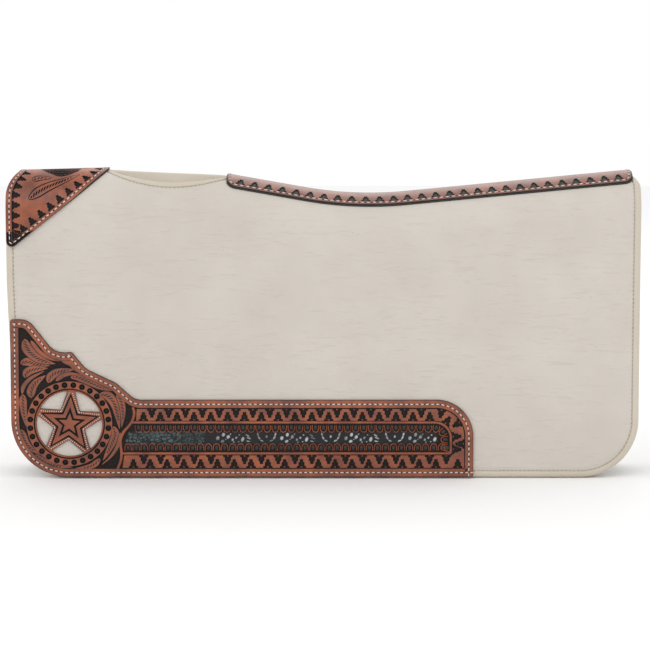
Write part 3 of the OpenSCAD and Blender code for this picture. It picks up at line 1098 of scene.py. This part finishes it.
def starInRing(r):  # the star's outline, its arms ending at the ring
    rOut, rIn = wear["starOutline"]
    out = []
    for k in range(0, 10, 2):
        before, after = (whereOut(onStar(rIn, n), onStar(rOut, k), r) for n in (k - 1, k + 1))
        out += [onStar(rIn, k - 1), before] + arc(before, after, r) + [after]
    return out


dividerLine = [(-238, 90), (-236, 83), (-238, 74), (-243, 66), (-249.5, 58.5), (-253, 50), (-253.4, 42),
               (-252.3, 32.4), (-253.4, 22), (-257.5, 11.5)]
# leaves of the front panel, each its rib from the round end to the point and its width
panelLeaves = [
    ([(-364, 174), (-354, 159.5), (-339, 151), (-325, 148)], 5.5, False),
    ([(-326.5, 149), (-315.5, 145.5), (-309, 138.5), (-298, 129.5)], 5.5, False),
    ([(-371.5, 176), (-368.5, 164), (-359, 153.5), (-346.5, 147.5), (-333.5, 144.5)], 12, True),
    ([(-377.5, 145), (-368.5, 147), (-358.5, 144), (-340.5, 142)], 9, True),
    ([(-372.5, 127), (-368, 134.5), (-357.5, 138), (-343, 139)], 9.5, True),
    ([(-375.5, 106.5), (-373.5, 116), (-365, 126), (-347.5, 135.5)], 4, False),
    ([(-364, 101.5), (-364, 110.5), (-358.5, 120.5), (-346, 130)], 10, True),
    ([(-343, 120.5), (-339, 129), (-329, 134.5), (-310, 137.5)], 9.5, True),
    ([(-333.5, 123), (-325, 129.5), (-315.5, 132), (-302, 131)], 4.5, False),
    ([(-315, 127.5), (-305.5, 127.5), (-293, 122), (-277, 114.5), (-262.5, 110.5)], 8, True),
    ([(-279, 106.5), (-267.5, 103.5), (-260, 92.5), (-256.5, 77.5), (-254.5, 62.5)], 10.5, True),
    ([(-257.5, 107.5), (-252, 96.5), (-250, 81.5), (-252, 64.5)], 7.5, True),
    ([(-262, 66), (-260, 55), (-265.5, 41), (-275.5, 22.5)], 9, True),
    ([(-253.5, 58), (-256.5, 42.5), (-265, 28.5), (-276.5, 17.5)], 3.5, False),
    ([(-279, 25), (-286.5, 17.5), (-295.5, 14), (-310, 12.5)], 6.5, True),
    ([(-360, 30), (-349, 21), (-334, 16), (-313.5, 14)], 7, True),
    ([(-377, 62), (-373, 48.5), (-366, 38.5), (-353.5, 29.5)], 8, True),
    ([(-374.5, 106.5), (-374.5, 95), (-373.5, 82.5), (-371, 66)], 9, True),
]


def hangLoops(bm, bar):  # loops with a seed in each, hanging from the bars
    ground, face = tooling["groundH"], tooling["faceH"]
    angles = [math.radians(a) for a in range(180, 361, 20)]
    for p, way in along(moved(bar, -(wear["barHalf"] + 5.5 * mm)), wear["loopPitch"], 9 * mm, 8 * mm):
        up = leftOf(way)
        outer = [p + way * math.cos(a) * 4.7 * mm + up * math.sin(a) * 5.8 * mm for a in angles]
        inner = [p + way * math.cos(a) * 3.4 * mm + up * math.sin(a) * 4.4 * mm for a in angles]
        loop = outer + [outer[-1] + up * 3.6 * mm, inner[-1] + up * 3.6 * mm]
        loop += inner[::-1] + [inner[0] + up * 3.6 * mm, outer[0] + up * 3.6 * mm]
        plateau(bm, [loop], roll(ground - 0.4 * mm, face - 0.1 * mm, 0.65 * mm, 0.5))
        ball(bm, p + up * 0.2 * mm, ground, (3.7 * mm, 2.8 * mm, 1.3 * mm), up, 2, 1, (10, 6))


def addStar(bm):  # cut in one with the leather and standing on the felt
    ground, face = tooling["groundH"], tooling["faceH"]
    ring = wear["ringR"] + 0.8 * mm
    plateau(bm, [starInRing(ring), star(wear["starGroove"])[::-1]],
            hide(ground, face - 0.3 * mm, 0.3 * mm, 0.5 * mm))
    for k in range(10):
        a, b = onStar(wear["beads"][k % 2], k), onStar(wear["beads"][(k + 1) % 2], k + 1)
        for p, way in along([a, b], 2.7 * mm, 1 * mm, 1 * mm):
            if (p - wear["ringMid"]).length < 40.5 * mm:
                ball(bm, p, face - 0.3 * mm, wear["bead"], way, 3, 0, (6, 4))
                # painted shade: a dark blob stands for the shade in each bead's hole
                ball(bm, p + way * 1.35 * mm, face - 0.3 * mm, wear["beadHoleShade"], way, 2, 1, (6, 4))
    band = hide(ground, face + 0.1 * mm, 0.35 * mm, 0.6 * mm)
    plateau(bm, [star(wear["starBand"]), star(wear["starBandIn"])[::-1]], band)
    plateau(bm, [star(wear["starMiddle"])], band)


def addRing(bm):
    ground, face = tooling["groundH"], tooling["faceH"]
    mid = wear["ringMid"]
    lip = [circle(mid, wear["lipR"], 72), circle(mid, wear["ringR"], 64)[::-1]]
    plateau(bm, lip, roll(0.1 * mm, face, 1.1 * mm, 0.7))
    holes = []
    for k in range(wear["dots"]):
        t = 2 * math.pi * (k + 0.5) / wear["dots"]
        way = Vector((math.cos(t), math.sin(t)))
        spot = mid + way * (wear["ringIn"] + wear["ringOut"]) / 2
        holes.append(circle(spot, wear["dotR"] + 0.75 * mm, 14)[::-1])
        ball(bm, spot, ground - 0.1 * mm, (wear["dotR"], wear["dotR"], 1.7 * mm), way, 1, 1, (14, 9))
    ring = [circle(mid, wear["ringOut"], 96), circle(mid, wear["ringIn"], 84)[::-1]]
    plateau(bm, ring + holes, hide(ground - 0.2 * mm, face - 0.1 * mm, 0.25 * mm, 0.5 * mm))


def stampPlaces(stamps, total):  # where a row's stamps stand, as lengths along it
    (lowCount, lowEnd), (highCount, highEnd) = stamps["low"], stamps["high"]
    low = [lowEnd + wear["stampPitch"] * k for k in range(lowCount)]
    high = [total - highEnd - wear["stampPitch"] * k for k in range(highCount)]
    return low + stamps["bend"] + high


def addStampBand(bm):  # two rows of stamps facing each other, round three sides of the inlay
    ground, face = tooling["groundH"], tooling["faceH"]
    rim = wear["incisedIn"] + wear["line"]
    high, low, rear = wear["stripZ"] - rim, wear["bottomZ"] + rim, wear["rearX"] - rim
    outer = roundCorners([(-251.5 * mm, low, 0), (rear, low, 1 * mm), (rear, high, wear["rearR"] - rim),
                          (-233 * mm, high, 0)], step=3 * mm)
    inner = roundCorners([(-249 * mm, wear["bandLow"], 0), (wear["innerX"], wear["bandLow"], 0.5 * mm),
                          (wear["innerX"], wear["bandHigh"], wear["innerR"]),
                          (-234 * mm, wear["bandHigh"], 0)], step=3 * mm)
    total = lengthOf(inner)
    places = stampPlaces(wear["outerStamps"], lengthOf(outer))
    placesIn = [total - t for t in stampPlaces(wear["innerStamps"], total)]
    band = notched(outer, places) + notched(inner[::-1], placesIn)
    plateau(bm, [tidy(band, True)], hide(ground - 0.2 * mm, face - 0.1 * mm))
    for path, stops in ((outer, places), (inner[::-1], placesIn)):
        for stop in stops:
            p, way = pointAt(path, stop)
            ball(bm, p + leftOf(way) * 1.1 * mm, ground, wear["foot"], way, 0, 0.1, (8, 6))


def makeWearRelief(bm):
    ground, face = tooling["groundH"], tooling["faceH"]
    outline = wearLoop()
    cutLine = moved(outline, wear["incisedIn"], True)
    windows = starWindows(wear["ringR"])
    inlayHole = roundCorners([(-249 * mm, 42 * mm, 3 * mm), (143 * mm, 42 * mm, 4 * mm),
                              (143 * mm, 59.3 * mm, 8 * mm), (-243 * mm, 59.3 * mm, 3 * mm)], closed=True)
    plateau(bm, [outline, inlayHole[::-1]] + windows, [(0.1 * mm, 0, 1), (ground, 0, 1)], 1)
    plateau(bm, [outline, cutLine[::-1]], hide(ground - 0.2 * mm, face, 0.5 * mm, 1.1 * mm))
    addStampBand(bm)
    # raised bars round the inlay, and the divider
    barX, barHigh, barLow = wear["innerX"] - 2 * mm, wear["bandHigh"] - 2 * mm, wear["bandLow"] + 2 * mm
    bar = roundCorners([(-240 * mm, barHigh, 0), (barX, barHigh, wear["innerR"] - 2 * mm),
                        (barX, barLow, 1.8 * mm), (-252 * mm, barLow, 0)], step=2.5 * mm)
    half = wear["barHalf"]
    plateau(bm, [ribbon(bar, half)], roll(ground - 0.2 * mm, face + 0.1 * mm, half))
    divider = smoothLine([Vector(p) * mm for p in dividerLine], 5)
    plateau(bm, [ribbon(divider, 2 * mm)], roll(ground - 0.2 * mm, face + 0.25 * mm, 2 * mm))
    hangLoops(bm, bar)
    addRing(bm)
    addStar(bm)
    for i, (rib, width, cuts) in enumerate(panelLeaves):
        addLeaf(bm, rib, width, ground - 0.2 * mm, face + (0.24 * (i % 3) - 0.55) * mm, cuts)
    return outline


def makeWear(word, side):
    bm, thread = newMesh(), newMesh()
    outline = makeWearRelief(bm)
    seam = moved(outline, wear["stitchIn"], True)
    addStitches(thread, bm, seam + seam[:1], tooling["stitchPitch"], tooling["faceH"] + 0.1 * mm)
    piece = finishPiece(word + "WearLeather", bm, side, [tanLeather, darkGround, blackDyeAndShade, whiteThread],
                        "side")
    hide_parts(word + "_wear_leather")
    piece = finishPiece(word + "WearStitching", thread, side, [whiteThread], "side", 180)
    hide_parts(word + "_wear_leather_stitching")


# inlay

inlay = {
    "front": -251 * mm,
    "rear": 147 * mm,
    "low": 39 * mm,
    "high": 62 * mm,
    "middle": 50.5 * mm,
    "face": 1.25 * mm,
    "step": 0.9 * mm,
    "cellsEnd": -148 * mm,  # scales ahead of here, berries and leaves behind
    "rise": 0.8 * mm,
    "firstMotif": -125 * mm,
    "motifPitch": 80 * mm,
}
# one repeat of the embossing: berries, seeds, blades and a pair of curved leaves,
# each an oval given by its place, half length, half width and turn
motif = [
    (0, 4.5, 3.1, 2.3, 1.2), (-7, 0, 3.1, 2.4, 1.3), (-1, -4, 2.9, 2.2, 0.5), (6, 1.5, 2.9, 2.3, 1),
    (11.5, -2, 2.1, 1.6, 1.2), (16, 0.5, 1.9, 1.5, 0.8), (24, -1.5, 3.9, 2.3, 1.2), (3, -1.5, 1, 1, 0),
    (9, 5, 1.1, 1.1, 0), (13, -5, 1.2, 1, 0), (19, -4.5, 1.1, 1, 0), (20, 4, 1.3, 1, 0),
    (30, 3.5, 3.5, 0.9, -0.6), (32, 0, 4, 0.9, -0.4), (31, -4, 3.5, 0.9, -0.2), (43, 5, 2.8, 1.3, -1.3),
    (44.5, 0.5, 3, 1.3, -1), (48, -3.2, 3, 1.1, -0.4), (65, 5, 2.8, 1.3, 1.3), (63.5, 0.5, 3, 1.3, 1),
    (60, -3.2, 3, 1.1, 0.4), (54, 2, 2.2, 1.4, 1.5),
]


def embossedOvals():  # the repeats placed along the strip
    out = []
    start = inlay["firstMotif"]
    while start < inlay["rear"]:
        out += [(start + x * mm, inlay["middle"] + z * mm, a * mm, b * mm, turn)
                for x, z, a, b, turn in motif]
        start += inlay["motifPitch"]
    return out


def makeInlay(word, side, ovals):
    bm = newMesh()
    dyeAndPaintedLight = bm.verts.layers.float["dyeAndPaintedLight"]
    outline = [Vector((inlay["front"], inlay["low"])), Vector((inlay["rear"], inlay["low"])),
               Vector((inlay["rear"], inlay["high"])), Vector((inlay["front"], inlay["high"]))]

    def emboss(x, z):
        if x < inlay["cellsEnd"]:
            gaps = noise.voronoi(Vector((x * 190, z * 270, 1)))[0]
            return min(0.9, max(0, (gaps[1] - gaps[0]) * 4.5))
        lift = 0.15 + 0.35 * noise.noise(Vector((x * 350, z * 350, 2)))
        for sx, sz, long, wide, turn in ovals:
            if abs(x - sx) > long or abs(z - sz) > long:
                continue
            a = (x - sx) * math.cos(turn) + (z - sz) * math.sin(turn)
            b = (z - sz) * math.cos(turn) - (x - sx) * math.sin(turn)
            lift = max(lift, 1.15 * math.sqrt(max(0, 1 - (a / long) ** 2 - (b / wide) ** 2)))
        return lift

    verts = [bm.verts.new((p.x, p.y, 0)) for p in outline]
    bm.faces.new(verts)
    sliceUp(bm, 0, inlay["step"])
    sliceUp(bm, 1, inlay["step"])
    back = bmesh.ops.extrude_face_region(bm, geom=bm.faces[:])["geom"]
    under = {g for g in back if isinstance(g, bmesh.types.BMVert)}
    for vert in bm.verts:
        lift = emboss(vert.co.x, vert.co.y)
        # the emboss height is stored again to set the inlay's painted highlight
        vert[dyeAndPaintedLight] = lift
        vert.co.z = 0.2 * mm if vert in under else inlay["face"] - inlay["rise"] + inlay["rise"] * lift
    piece = finishPiece(word + "InlayStrip", bm, side, [inlayLeather], "side", 80)
    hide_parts(word + "_inlay_strip")


def inlayMaterial():  # black embossed hide, its high spots carrying a painted highlight, grey, and bluish over the scales at the front
    material, tree, shader = newMaterial("inlayLeather", 0.36, coat=0.15, coatRough=0.2)
    shader.inputs["Specular IOR Level"].default_value = 0.3
    skin = useGroup(tree, grainGroup, Scale=1.4)
    dyeAndPaintedLight = addNode(tree, "ShaderNodeAttribute", attribute_name="dyeAndPaintedLight")
    where = addNode(tree, "ShaderNodeTexCoord").outputs["Object"]
    parts = addNode(tree, "ShaderNodeSeparateXYZ")
    tree.links.new(where, parts.inputs[0])
    front = ramp(tree, parts.outputs["X"], inlay["cellsEnd"] - 1 * mm, inlay["cellsEnd"] + 1 * mm, 1, 0)
    # painted highlight colour: grey, bluish over the scales at the front
    tip = mixColours(tree, front, srgb(176, 178, 184), srgb(70, 88, 88))
    high = ramp(tree, dyeAndPaintedLight.outputs["Fac"], 0.4, 0.95)
    paintedHighlight = sums(tree, "MULTIPLY", high, ramp(tree, skin.outputs["Dye"], 0.36, 0.58, 0.3, 1.0))
    tree.links.new(mixColours(tree, paintedHighlight, srgb(12, 13, 15), tip), shader.inputs["Base Color"])
    addBump(tree, shader, skin.outputs["Height"], 0.3, 0.2 * mm)
    return material


inlayLeather = inlayMaterial()

# wither leather

withers = {
    "frontX": pad["frontX"] + 1 * mm,
    "tipZ": 283 * mm,
    "tipR": 7 * mm,
    "stitchIn": 4.4 * mm,
    "incisedIn": 8.4 * mm,
    "slantIn": 7.0 * mm,
    "stampSize": 0.82,
    "columnPitch": 12.6 * mm,
    "columnStart": 6.2 * mm,
    "columnEnds": 14 * mm,  # length of the column's two bare ends together
    "slantPitch": 14.2 * mm,
    "slantEnds": (21 * mm, 9 * mm),
    "lift": 0.3 * mm,
}
# cut leaves of the wither leather in side view, rib from the round end to the point, and width on the flat
witherLeaves = [
    ([(-364, 349), (-354, 356), (-341, 362.5), (-322, 369), (-303, 375)], 10.5),
    ([(-361, 369.5), (-353, 371.3), (-345, 371.6), (-337, 372.2)], 7),
]
# the carved rope between them and the spine: its lower edge and its strands
witherRope = [(-354, 379.4), (-346, 377.6), (-338, 375.6), (-332, 373.8), (-325, 373.2), (-316, 374.8),
              (-306, 378.2), (-296, 381)]
ropeStrands = {"rows": 4, "pitch": 5.2 * mm, "size": (3.2 * mm, 0.75 * mm, 1.1 * mm)}


def witherPath():
    x = withers["frontX"]
    corners = [(-300 * mm, ridgeZ(-300 * mm) + 13 * mm, 0), (x, ridgeZ(x) + 1 * mm, pad["frontCornerR"]),
               (x, withers["tipZ"], withers["tipR"]), (-258 * mm, ridgeZ(-258 * mm) + 8 * mm, 0)]
    flat = [toFlat(p) for p in spread(roundCorners(corners, step=2 * mm), 3 * mm)]
    below = [i for i, p in enumerate(flat) if ridgeV(p.x) - p.y > 0.2 * mm]
    return tidy(flat[below[0] - 1:below[-1] + 2])


def closeOnRidge(path):  # an open path whose ends lie on the spine, as a closed outline
    return tidy(path + ridgeRun(path[-1].x, path[0].x, 6 * mm), True)


def frontGroove(line, size):  # the cut line along the front, stamps standing on it, as one hole
    inner = underRidge(moved(overRidge(line), withers["incisedIn"]))
    tip = min(range(len(inner)), key=lambda i: inner[i].y)
    column = [p for p in inner[:tip] if ridgeV(p.x) - p.y > 4 * mm]
    total = lengthOf(column)
    count = round((total - withers["columnEnds"]) / withers["columnPitch"])
    places = [total - withers["columnStart"] - withers["columnPitch"] * k for k in range(count + 1)]
    return notched(column, places, size) + moved(column, -wear["line"])[::-1]


def makeWither(word, side):
    bm, thread = newMesh(), newMesh()
    lift = withers["lift"]
    ground, face = tooling["groundH"] + lift, tooling["faceH"] + lift
    line = witherPath()
    plateau(bm, [closeOnRidge(line)], [(lift, 0, 1), (ground, 0, 1)], 1)
    size = withers["stampSize"]
    holes = [frontGroove(line, size)]
    slanted = underRidge(moved(overRidge(line), withers["slantIn"]))
    tip = min(range(len(slanted)), key=lambda i: slanted[i].y)
    for p, way in along(slanted[tip + 1:], withers["slantPitch"], *withers["slantEnds"]):
        holes.append(stampHole(p, way, size))
    leaves = [([toFlat((x * mm, z * mm)) for x, z in rib], width * mm) for rib, width in witherLeaves]
    holes += [leafShape(rib, width + 1.8 * mm)[::-1] for rib, width in leaves]
    rope = [toFlat((x * mm, z * mm)) for x, z in witherRope]
    crestX = [rope[-1].x - 4 * mm * k for k in range(1, 15)]
    crest = [Vector((x, ridgeV(x) - 1.5 * mm)) for x in crestX]
    holes.append((rope + crest)[::-1])
    plateau(bm, [closeOnRidge(line)] + holes, hide(ground - 0.2 * mm, face, 0.4 * mm, 0.7 * mm))
    for i, (rib, width) in enumerate(leaves):
        plateau(bm, [leafShape(rib, width)] + leafCuts(rib, width),
                hide(ground - 0.2 * mm, face + 0.1 * mm * i, 0.3 * mm, 0.5 * mm))
    for row in range(ropeStrands["rows"]):
        share = (row + 0.5) / ropeStrands["rows"]
        strand = [p.lerp(Vector((p.x, ridgeV(p.x) - 1 * mm)), share) for p in spread(rope, 3 * mm)]
        for p, way in along(strand, ropeStrands["pitch"], 3 * mm, 3 * mm):
            turned = Matrix.Rotation(0.5 if row % 2 else -0.35, 2) @ way
            ball(bm, p, ground + 0.4 * mm, ropeStrands["size"], turned, 0, 0.62)
    sliceUp(bm, 0, 12 * mm)
    sliceUp(bm, 1, 4 * mm, 320 * mm)
    seam = underRidge(moved(overRidge(line), withers["stitchIn"]))
    addStitches(thread, bm, seam, tooling["stitchPitch"], face + 0.1 * mm)
    piece = finishPiece(word + "WitherLeather", bm, side, [tanLeather, darkGround, blackDyeAndShade])
    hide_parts("wither_leather")
    piece = finishPiece(word + "WitherStitching", thread, side, [whiteThread], sharp=180)
    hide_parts("wither_leather_stitching")


# spine strip and seam tape

stripLow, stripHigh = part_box("spine_strip_leather")
strip = {
    "frontX": stripLow.x,
    "rearX": stripHigh.x,
    "down": 32.4 * mm,  # from the spine to its lower edge, over the fold
    "cornerR": 10 * mm,
    "blackOut": 1.6 * mm,  # how far the fuzzy black backing shows
    "stitchIn": 3 * mm,
    "stitchPitch": 7.6 * mm,
    "stampIn": 5 * mm,
    "stampPitch": 17.5 * mm,
    "stampSize": 0.92,
    "lift": 0.3 * mm,
}
tape = {"down": 31 * mm, "h": -25.3 * mm, "thick": 1 * mm, "clear": 82 * mm, "endIn": 34 * mm}


def hungPath(x0, x1, down, r, out=0.0):  # from the spine down, along it and back up, at a distance under it
    corners = [(x0 - out, 5 * mm, 0), (x0 - out, -down - out, r), (x1 + out, -down - out, r),
               (x1 + out, 5 * mm, 0)]
    line = spread(roundCorners(corners, step=2 * mm), 6 * mm)
    return underRidge([Vector((p.x, ridgeV(p.x) + p.y)) for p in line])


def makeStrip(word, side):
    bm, thread = newMesh(), newMesh()
    lift = strip["lift"]
    ground, face = tooling["groundH"] + lift, tooling["faceH"] + lift
    line = hungPath(strip["frontX"], strip["rearX"], strip["down"], strip["cornerR"])
    black = hungPath(strip["frontX"], strip["rearX"], strip["down"], strip["cornerR"], strip["blackOut"])
    plateau(bm, [closeOnRidge(black)], [(lift, 0, 1), (ground - 0.4 * mm, 0, 1), (ground, 0.5 * mm, 1)], 1)
    holes = []
    footDown = strip["down"] - strip["stampIn"]
    base = hungPath(strip["frontX"] + 10 * mm, strip["rearX"] - 10 * mm, footDown, 1 * mm)
    low = [p for p in base if ridgeV(p.x) - p.y > footDown - 1 * mm]
    for p, way in along(low, strip["stampPitch"], 6 * mm, 6 * mm):
        holes.append(stampHole(p, way, strip["stampSize"]))
    plateau(bm, [closeOnRidge(line)] + holes, hide(ground - 0.2 * mm, face, 0.5 * mm, 0.8 * mm))
    sliceUp(bm, 0, 12 * mm)
    seam = hungPath(strip["frontX"] + strip["stitchIn"], strip["rearX"] - strip["stitchIn"],
                    strip["down"] - strip["stitchIn"], strip["cornerR"] - strip["stitchIn"])
    addStitches(thread, bm, seam, strip["stitchPitch"], face + 0.1 * mm)
    sliceUp(bm, 1, 4 * mm, 300 * mm)
    piece = finishPiece(word + "SpineStrip", bm, side, [stripLeather, blackDyeAndShade, blackDyeAndShade])
    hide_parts("spine_strip_leather")
    piece = finishPiece(word + "SpineStripStitching", thread, side, [whiteThread], sharp=180)
    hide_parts("spine_strip_stitching")


def makeTape(word, side):
    bm = newMesh()
    runs = ((pad["frontX"] + tape["endIn"], vent["x"] - tape["clear"]),
            (vent["x"] + tape["clear"], pad["rearX"] - tape["endIn"] / 2))
    for x0, x1 in runs:
        outline = closeOnRidge(hungPath(x0, x1, tape["down"], 1 * mm))
        h = tape["h"]
        plateau(bm, [outline], [(h - tape["thick"], 0, 0), (h, 0, 0)])
    sliceUp(bm, 0, 12 * mm)
    sliceUp(bm, 1, 4 * mm, 300 * mm)
    piece = finishPiece(word + "SeamTape", bm, side, [seamTape])
    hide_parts("spine_seam_tape")


ovals = embossedOvals()
for word, side in sides.items():
    makeFelts(word, side)
    print(word, "felts done")
    makeBinding(word, side)
    print(word, "binding done")
    makeWear(word, side)
    makeInlay(word, side, ovals)
    print(word, "wear leather done")
    makeWither(word, side)
    makeStrip(word, side)
    makeTape(word, side)
    print(word, "spine leathers done")

bpy.data.meshes.remove(scratch)
